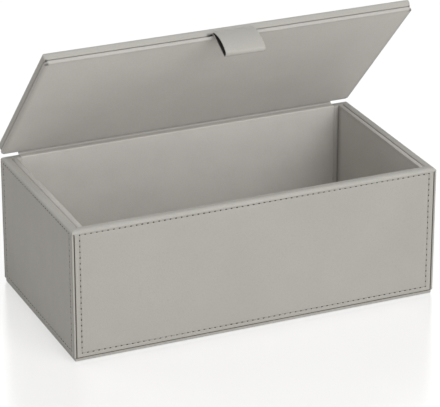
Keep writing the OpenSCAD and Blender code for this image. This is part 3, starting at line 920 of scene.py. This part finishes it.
def leather_material(name, colour, grain_scale=1250.0, grain=0.55, smooth=0.52):
    """Smooth grained leather: pebbled grain with pores, soft creases and slow changes of tone. Where
    the wear and light value is above 0 it is paler and smoother, from wear and from painted light, and
    where it is below 0 it is darker and rougher, as painted shade."""
    n = Nodes(name)
    at = n.add("ShaderNodeTexCoord").outputs["Object"]
    warp = n.add("ShaderNodeTexNoise", None, Scale=420.0, Detail=2.0)
    n.put(warp, "Vector", at)
    shift = n.add("ShaderNodeVectorMath", {"operation": "SCALE"}, Scale=0.0007)
    n.put(shift, "0", warp.outputs["Color"])
    moved = n.add("ShaderNodeVectorMath", {"operation": "ADD"})
    n.put(moved, "0", at)
    n.put(moved, "1", shift.outputs[0])
    cells = n.add("ShaderNodeTexVoronoi", {"feature": "SMOOTH_F1"}, Scale=grain_scale, Smoothness=0.35)
    n.put(cells, "Vector", moved.outputs[0])
    pebble = n.spread(cells.outputs["Distance"], 0.1, 0.75, 1.0, 0.0)
    pores = n.noise(at, 3400.0, 3.0, 0.6)
    creases = n.noise(at, 170.0, 5.0, 0.62)
    slow = n.noise(at, 21.0, 2.0)
    cloudy = n.noise(at, 75.0, 4.0, 0.6)
    wear_and_painted_light = n.add("ShaderNodeAttribute", {"attribute_name": "wear_and_painted_light"}).outputs["Fac"]
    tone = n.mix(n.spread(slow, 0.3, 0.7, 0.0, 1.0), shade(colour, 0.965), shade(colour, 1.025))
    tone = n.mix(n.spread(cloudy, 0.35, 0.75, 0.0, 0.35), tone, shade(colour, 0.955))
    valley = n.spread(pebble, 0.0, 0.55, 0.16, 0.0)
    tone = n.mix(valley, tone, shade(colour, 0.72))
    # Paler for wear and for painted light, darker for painted shade
    pale_amount = n.math("MAXIMUM", n.math("MULTIPLY", wear_and_painted_light, n.spread(cloudy, 0.3, 0.6, 0.15, 0.5)), 0.0)
    tone = n.mix(pale_amount, tone, shade(colour, 1.13))
    painted_shade_amount = n.math("MAXIMUM", n.math("MULTIPLY", wear_and_painted_light, -1.0), 0.0)
    tone = n.mix(painted_shade_amount, tone, shade(colour, 0.35))
    height = n.math("MULTIPLY", pebble, 0.6)
    height = n.math("ADD", height, n.math("MULTIPLY", pores, 0.3))
    height = n.math("ADD", height, n.math("MULTIPLY", creases, 0.7))
    bump = n.add("ShaderNodeBump", None, Strength=grain, Distance=0.00009, Height=height)
    rough = n.spread(cloudy, 0.3, 0.7, smooth, smooth + 0.12)
    rough = n.math("SUBTRACT", rough, n.math("MULTIPLY", wear_and_painted_light, 0.08))
    shader = n.add("ShaderNodeBsdfPrincipled", None, Roughness=rough, Normal=bump.outputs[0])
    n.put(shader, "Base Color", tone)
    n.put(shader, "Specular IOR Level", 0.35)
    n.put(shader, "Sheen Weight", 0.04)
    n.put(shader, "Sheen Roughness", 0.5)
    return n.finish(shader.outputs[0])


def thread_material(name, colour):
    """Waxed thread with its twist and a little fuzz."""
    n = Nodes(name)
    at = n.add("ShaderNodeTexCoord").outputs["Object"]
    twist = n.add("ShaderNodeTexWave", {"wave_type": "BANDS", "bands_direction": "DIAGONAL"},
                  Scale=900.0, Distortion=1.5)
    n.put(twist, "Vector", at)
    fuzz = n.noise(at, 5200.0, 3.0)
    slow = n.noise(at, 180.0, 2.0)
    tone = n.mix(n.spread(slow, 0.3, 0.7, 0.0, 1.0), shade(colour, 0.93), shade(colour, 1.06))
    tone = n.mix(n.spread(twist.outputs["Fac"], 0.0, 1.0, 0.28, 0.0), tone, shade(colour, 0.6))
    height = n.math("ADD", n.math("MULTIPLY", twist.outputs["Fac"], 0.8), n.math("MULTIPLY", fuzz, 0.4))
    bump = n.add("ShaderNodeBump", None, Strength=0.5, Distance=0.00006, Height=height)
    rough = n.spread(fuzz, 0.3, 0.7, 0.55, 0.75)
    shader = n.add("ShaderNodeBsdfPrincipled", None, Roughness=rough, Normal=bump.outputs[0])
    n.put(shader, "Base Color", tone)
    n.put(shader, "Sheen Weight", 0.15)
    return n.finish(shader.outputs[0])


def plain_fibre(name, colour, stretch, scale, contrast):
    """Board or card: fibres along one way, flecks and a dull surface."""
    n = Nodes(name)
    at = n.add("ShaderNodeTexCoord").outputs["Object"]
    drawn = n.add("ShaderNodeMapping", None, Scale=stretch)
    n.put(drawn, "Vector", at)
    fibre = n.noise(drawn.outputs[0], scale, 5.0, 0.65)
    fleck = n.noise(at, scale * 6, 3.0, 0.7)
    tone = n.mix(n.spread(fibre, 0.3, 0.7, 0.0, 1.0), shade(colour, 1 - contrast), shade(colour, 1.05))
    tone = n.mix(n.spread(fleck, 0.55, 0.75, 0.0, 0.5), tone, shade(colour, 0.6))
    bump = n.add("ShaderNodeBump", None, Strength=0.4, Distance=0.0001, Height=fibre)
    rough = n.spread(fleck, 0.3, 0.7, 0.75, 0.92)
    shader = n.add("ShaderNodeBsdfPrincipled", None, Roughness=rough, Normal=bump.outputs[0])
    n.put(shader, "Base Color", tone)
    return n.finish(shader.outputs[0])


def hole_material(name):
    """Painted shade for the inside of a stitch hole."""
    n = Nodes(name)
    at = n.add("ShaderNodeTexCoord").outputs["Object"]
    rag = n.noise(at, 2500.0, 3.0)
    tone = n.mix(n.spread(rag, 0.3, 0.7, 0.0, 1.0), linear(60, 57, 52), linear(84, 80, 74))
    bump = n.add("ShaderNodeBump", None, Strength=0.5, Distance=0.00005, Height=rag)
    shader = n.add("ShaderNodeBsdfPrincipled", None, Roughness=0.85, Normal=bump.outputs[0])
    n.put(shader, "Base Color", tone)
    n.put(shader, "Specular IOR Level", 0.1)
    return n.finish(shader.outputs[0])


# Studio
FLOOR_COLOUR = linear(252, 252, 252)
FLOOR_GLOW, FLOOR_GLOW_LEVEL, FLOOR_GLOSS = 0.55, 1.35, 0.28
FLOOR_ROUGH, FLOOR_BOUNCE, FLOOR_DROP = 0.2, (0.73, 0.718, 0.7), 0.0002
WORLD_LIGHT, WORLD_TINT, LAMP_TINT = 0.22, (1.0, 0.985, 0.965), (1.0, 0.995, 0.985)
# Place, what it points at, width and power of each soft lamp
LAMPS = {
    "front_lamp": ((0.631, -1.734, 1.198), (0, 0, 0.06), 1.6, 21.5),
    "low_front_lamp": ((0.516, -1.927, 0.14), (0, 0, 0.06), 0.5, 4.4),
    "wide_low_lamp": ((-0.414, -1.946, 0.209), (0, 0, 0.06), 1.0, 3.2),
    "left_lamp": ((-1.383, -1.383, 0.416), (0, 0, 0.06), 0.8, 2.4),
    "high_left_lamp": ((-1.599, -0.34, 1.472), (0, 0, 0.06), 1.2, 1.4),
    "rear_left_lamp": ((-1.4, 1.5, 1.6), (0, 0, 0.05), 1.4, 10.0),
    "top_lamp": ((0.35, -0.5, 1.9), (0, 0, 0.06), 0.8, 5.5),
    "top_left_lamp": ((-0.9, -0.1, 1.7), (0, 0, 0.06), 0.8, 3.6),
}


def studio_floor():
    """A plain white table with the shadow and a faint reflection. The camera sees it partly lit
    by itself, and it gives the box a duller light."""
    n = Nodes("studio_floor")
    at = n.add("ShaderNodeTexCoord").outputs["Object"]
    cloud = n.noise(at, 3.0, 3.0)
    white = n.mix(n.spread(cloud, 0.3, 0.7, 0.0, 1.0), shade(FLOOR_COLOUR, 0.99), FLOOR_COLOUR)
    lit = n.add("ShaderNodeBsdfDiffuse", None, Color=white)
    glow = n.add("ShaderNodeEmission", None, Color=(1, 1, 1, 1), Strength=FLOOR_GLOW_LEVEL)
    gloss = n.add("ShaderNodeBsdfGlossy", None, Color=(1, 1, 1, 1), Roughness=FLOOR_ROUGH)
    seen = n.add("ShaderNodeMixShader", None)
    n.put(seen, "0", FLOOR_GLOW)
    n.put(seen, "1", lit.outputs[0])
    n.put(seen, "2", glow.outputs[0])
    shiny = n.add("ShaderNodeMixShader", None)
    n.put(shiny, "0", FLOOR_GLOSS)
    n.put(shiny, "1", seen.outputs[0])
    n.put(shiny, "2", gloss.outputs[0])
    bounce = n.add("ShaderNodeBsdfDiffuse", None, Color=(*FLOOR_BOUNCE, 1))
    ray = n.add("ShaderNodeLightPath").outputs["Is Camera Ray"]
    both = n.add("ShaderNodeMixShader", None)
    n.put(both, "0", ray)
    n.put(both, "1", bounce.outputs[0])
    n.put(both, "2", shiny.outputs[0])
    mesh = bpy.data.meshes.new("studio_floor")
    half = 6.0
    mesh.from_pydata([(-half, -half, 0), (half, -half, 0), (half, half, 0), (-half, half, 0)], [],
                     [[0, 1, 2, 3]])
    mesh.materials.append(n.finish(both.outputs[0]))
    floor = bpy.data.objects.new("studio_floor", mesh)
    floor.location.z = -FLOOR_DROP
    bpy.context.scene.collection.objects.link(floor)


def studio_world():
    """White where the camera or a reflection sees it, and a weaker light on everything else."""
    world = bpy.data.worlds.new("studio")
    bpy.context.scene.world = world
    world.use_nodes = True
    tree = world.node_tree
    tree.nodes.clear()
    light = tree.nodes.new("ShaderNodeBackground")
    light.inputs["Color"].default_value = (*WORLD_TINT, 1)
    light.inputs["Strength"].default_value = WORLD_LIGHT
    white = tree.nodes.new("ShaderNodeBackground")
    white.inputs["Color"].default_value = (1, 1, 1, 1)
    white.inputs["Strength"].default_value = 1.0
    path = tree.nodes.new("ShaderNodeLightPath")
    either = tree.nodes.new("ShaderNodeMath")
    either.operation = "MAXIMUM"
    tree.links.new(path.outputs["Is Camera Ray"], either.inputs[0])
    tree.links.new(path.outputs["Is Glossy Ray"], either.inputs[1])
    mix = tree.nodes.new("ShaderNodeMixShader")
    tree.links.new(either.outputs[0], mix.inputs[0])
    tree.links.new(light.outputs[0], mix.inputs[1])
    tree.links.new(white.outputs[0], mix.inputs[2])
    out = tree.nodes.new("ShaderNodeOutputWorld")
    tree.links.new(mix.outputs[0], out.inputs["Surface"])


def soft_lamp(name, at, aim, size, power):
    data = bpy.data.lights.new(name, "AREA")
    data.shape = "DISK"
    data.size = size
    data.energy = power
    data.color = LAMP_TINT
    lamp = bpy.data.objects.new(name, data)
    lamp.location = at
    way = Vector(aim) - Vector(at)
    lamp.rotation_euler = way.to_track_quat("-Z", "Y").to_euler()
    bpy.context.scene.collection.objects.link(lamp)


def camera():
    """The camera that took the photograph."""
    data = bpy.data.cameras.new("camera")
    data.sensor_width = 36.0
    data.lens = LENS
    data.clip_start, data.clip_end = 0.05, 50.0
    made = bpy.data.objects.new("camera", data)
    turn, down = math.radians(CAMERA_TURN), math.radians(CAMERA_DOWN)
    way = Vector((-math.sin(turn) * math.cos(down), math.cos(turn) * math.cos(down), -math.sin(down)))
    made.location = CAMERA_AT
    made.rotation_euler = way.to_track_quat("-Z", "Y").to_euler()
    bpy.context.scene.collection.objects.link(made)
    bpy.context.scene.camera = made


def dress_cad(nodes, board, card):
    """The boards and cards that the leather covers keep their CAD shapes."""
    for name, obj in nodes.items():
        if name.endswith("_board") or name.endswith("_card"):
            made = board if name.endswith("_board") else card
            obj.data.materials.clear()
            obj.data.materials.append(made)


def main():
    leather = leather_material("grey_leather", linear(178, 176, 171))
    # The lining is the same leather, written paler as painted light for the shaded inside of the box
    # and lid
    inside = leather_material("grey_lining_leather_painted_lighter", linear(209, 206, 202), grain_scale=1350.0,
                              grain=0.5, smooth=0.55)
    thread = thread_material("grey_thread", linear(178, 175, 169))
    dark = hole_material("stitch_hole")
    dark_layer = leather_material("dark_inner_layer", linear(50, 46, 42), grain_scale=1900.0, smooth=0.7)
    # The board's dark tone is partly painted shade, for the seams where it shows between the leather
    board = plain_fibre("wood_fibre_board", linear(90, 85, 77), (1, 6, 6), 260.0, 0.25)
    card = plain_fibre("grey_card", linear(146, 142, 134), (2, 2, 2), 500.0, 0.12)
    dress_cad(frame["nodes"], board, card)
    for wall in WALLS:
        wall_leather(wall, leather, inside)
        wall_stitching(wall, thread, dark)
    for name, x, y in (("front_left", 1, 1), ("front_right", -1, 1), ("back_left", 1, -1),
                       ("back_right", -1, -1)):
        edge_strip(f"{name}_binding", x, y, leather)
    bottom_leather(leather)
    floor_lining(inside)
    end_lining(-1, inside)
    end_lining(1, inside)
    lid_leather(leather)
    lid_lining(inside)
    lid_stitching(thread, dark)
    hinge_strip(inside)
    pull_loop(leather, dark_layer)
    studio_floor()
    studio_world()
    for name, (at, aim, size, power) in LAMPS.items():
        soft_lamp(name, at, aim, size, power)
    camera()
    bpy.context.scene.view_settings.view_transform = "Standard"


main()
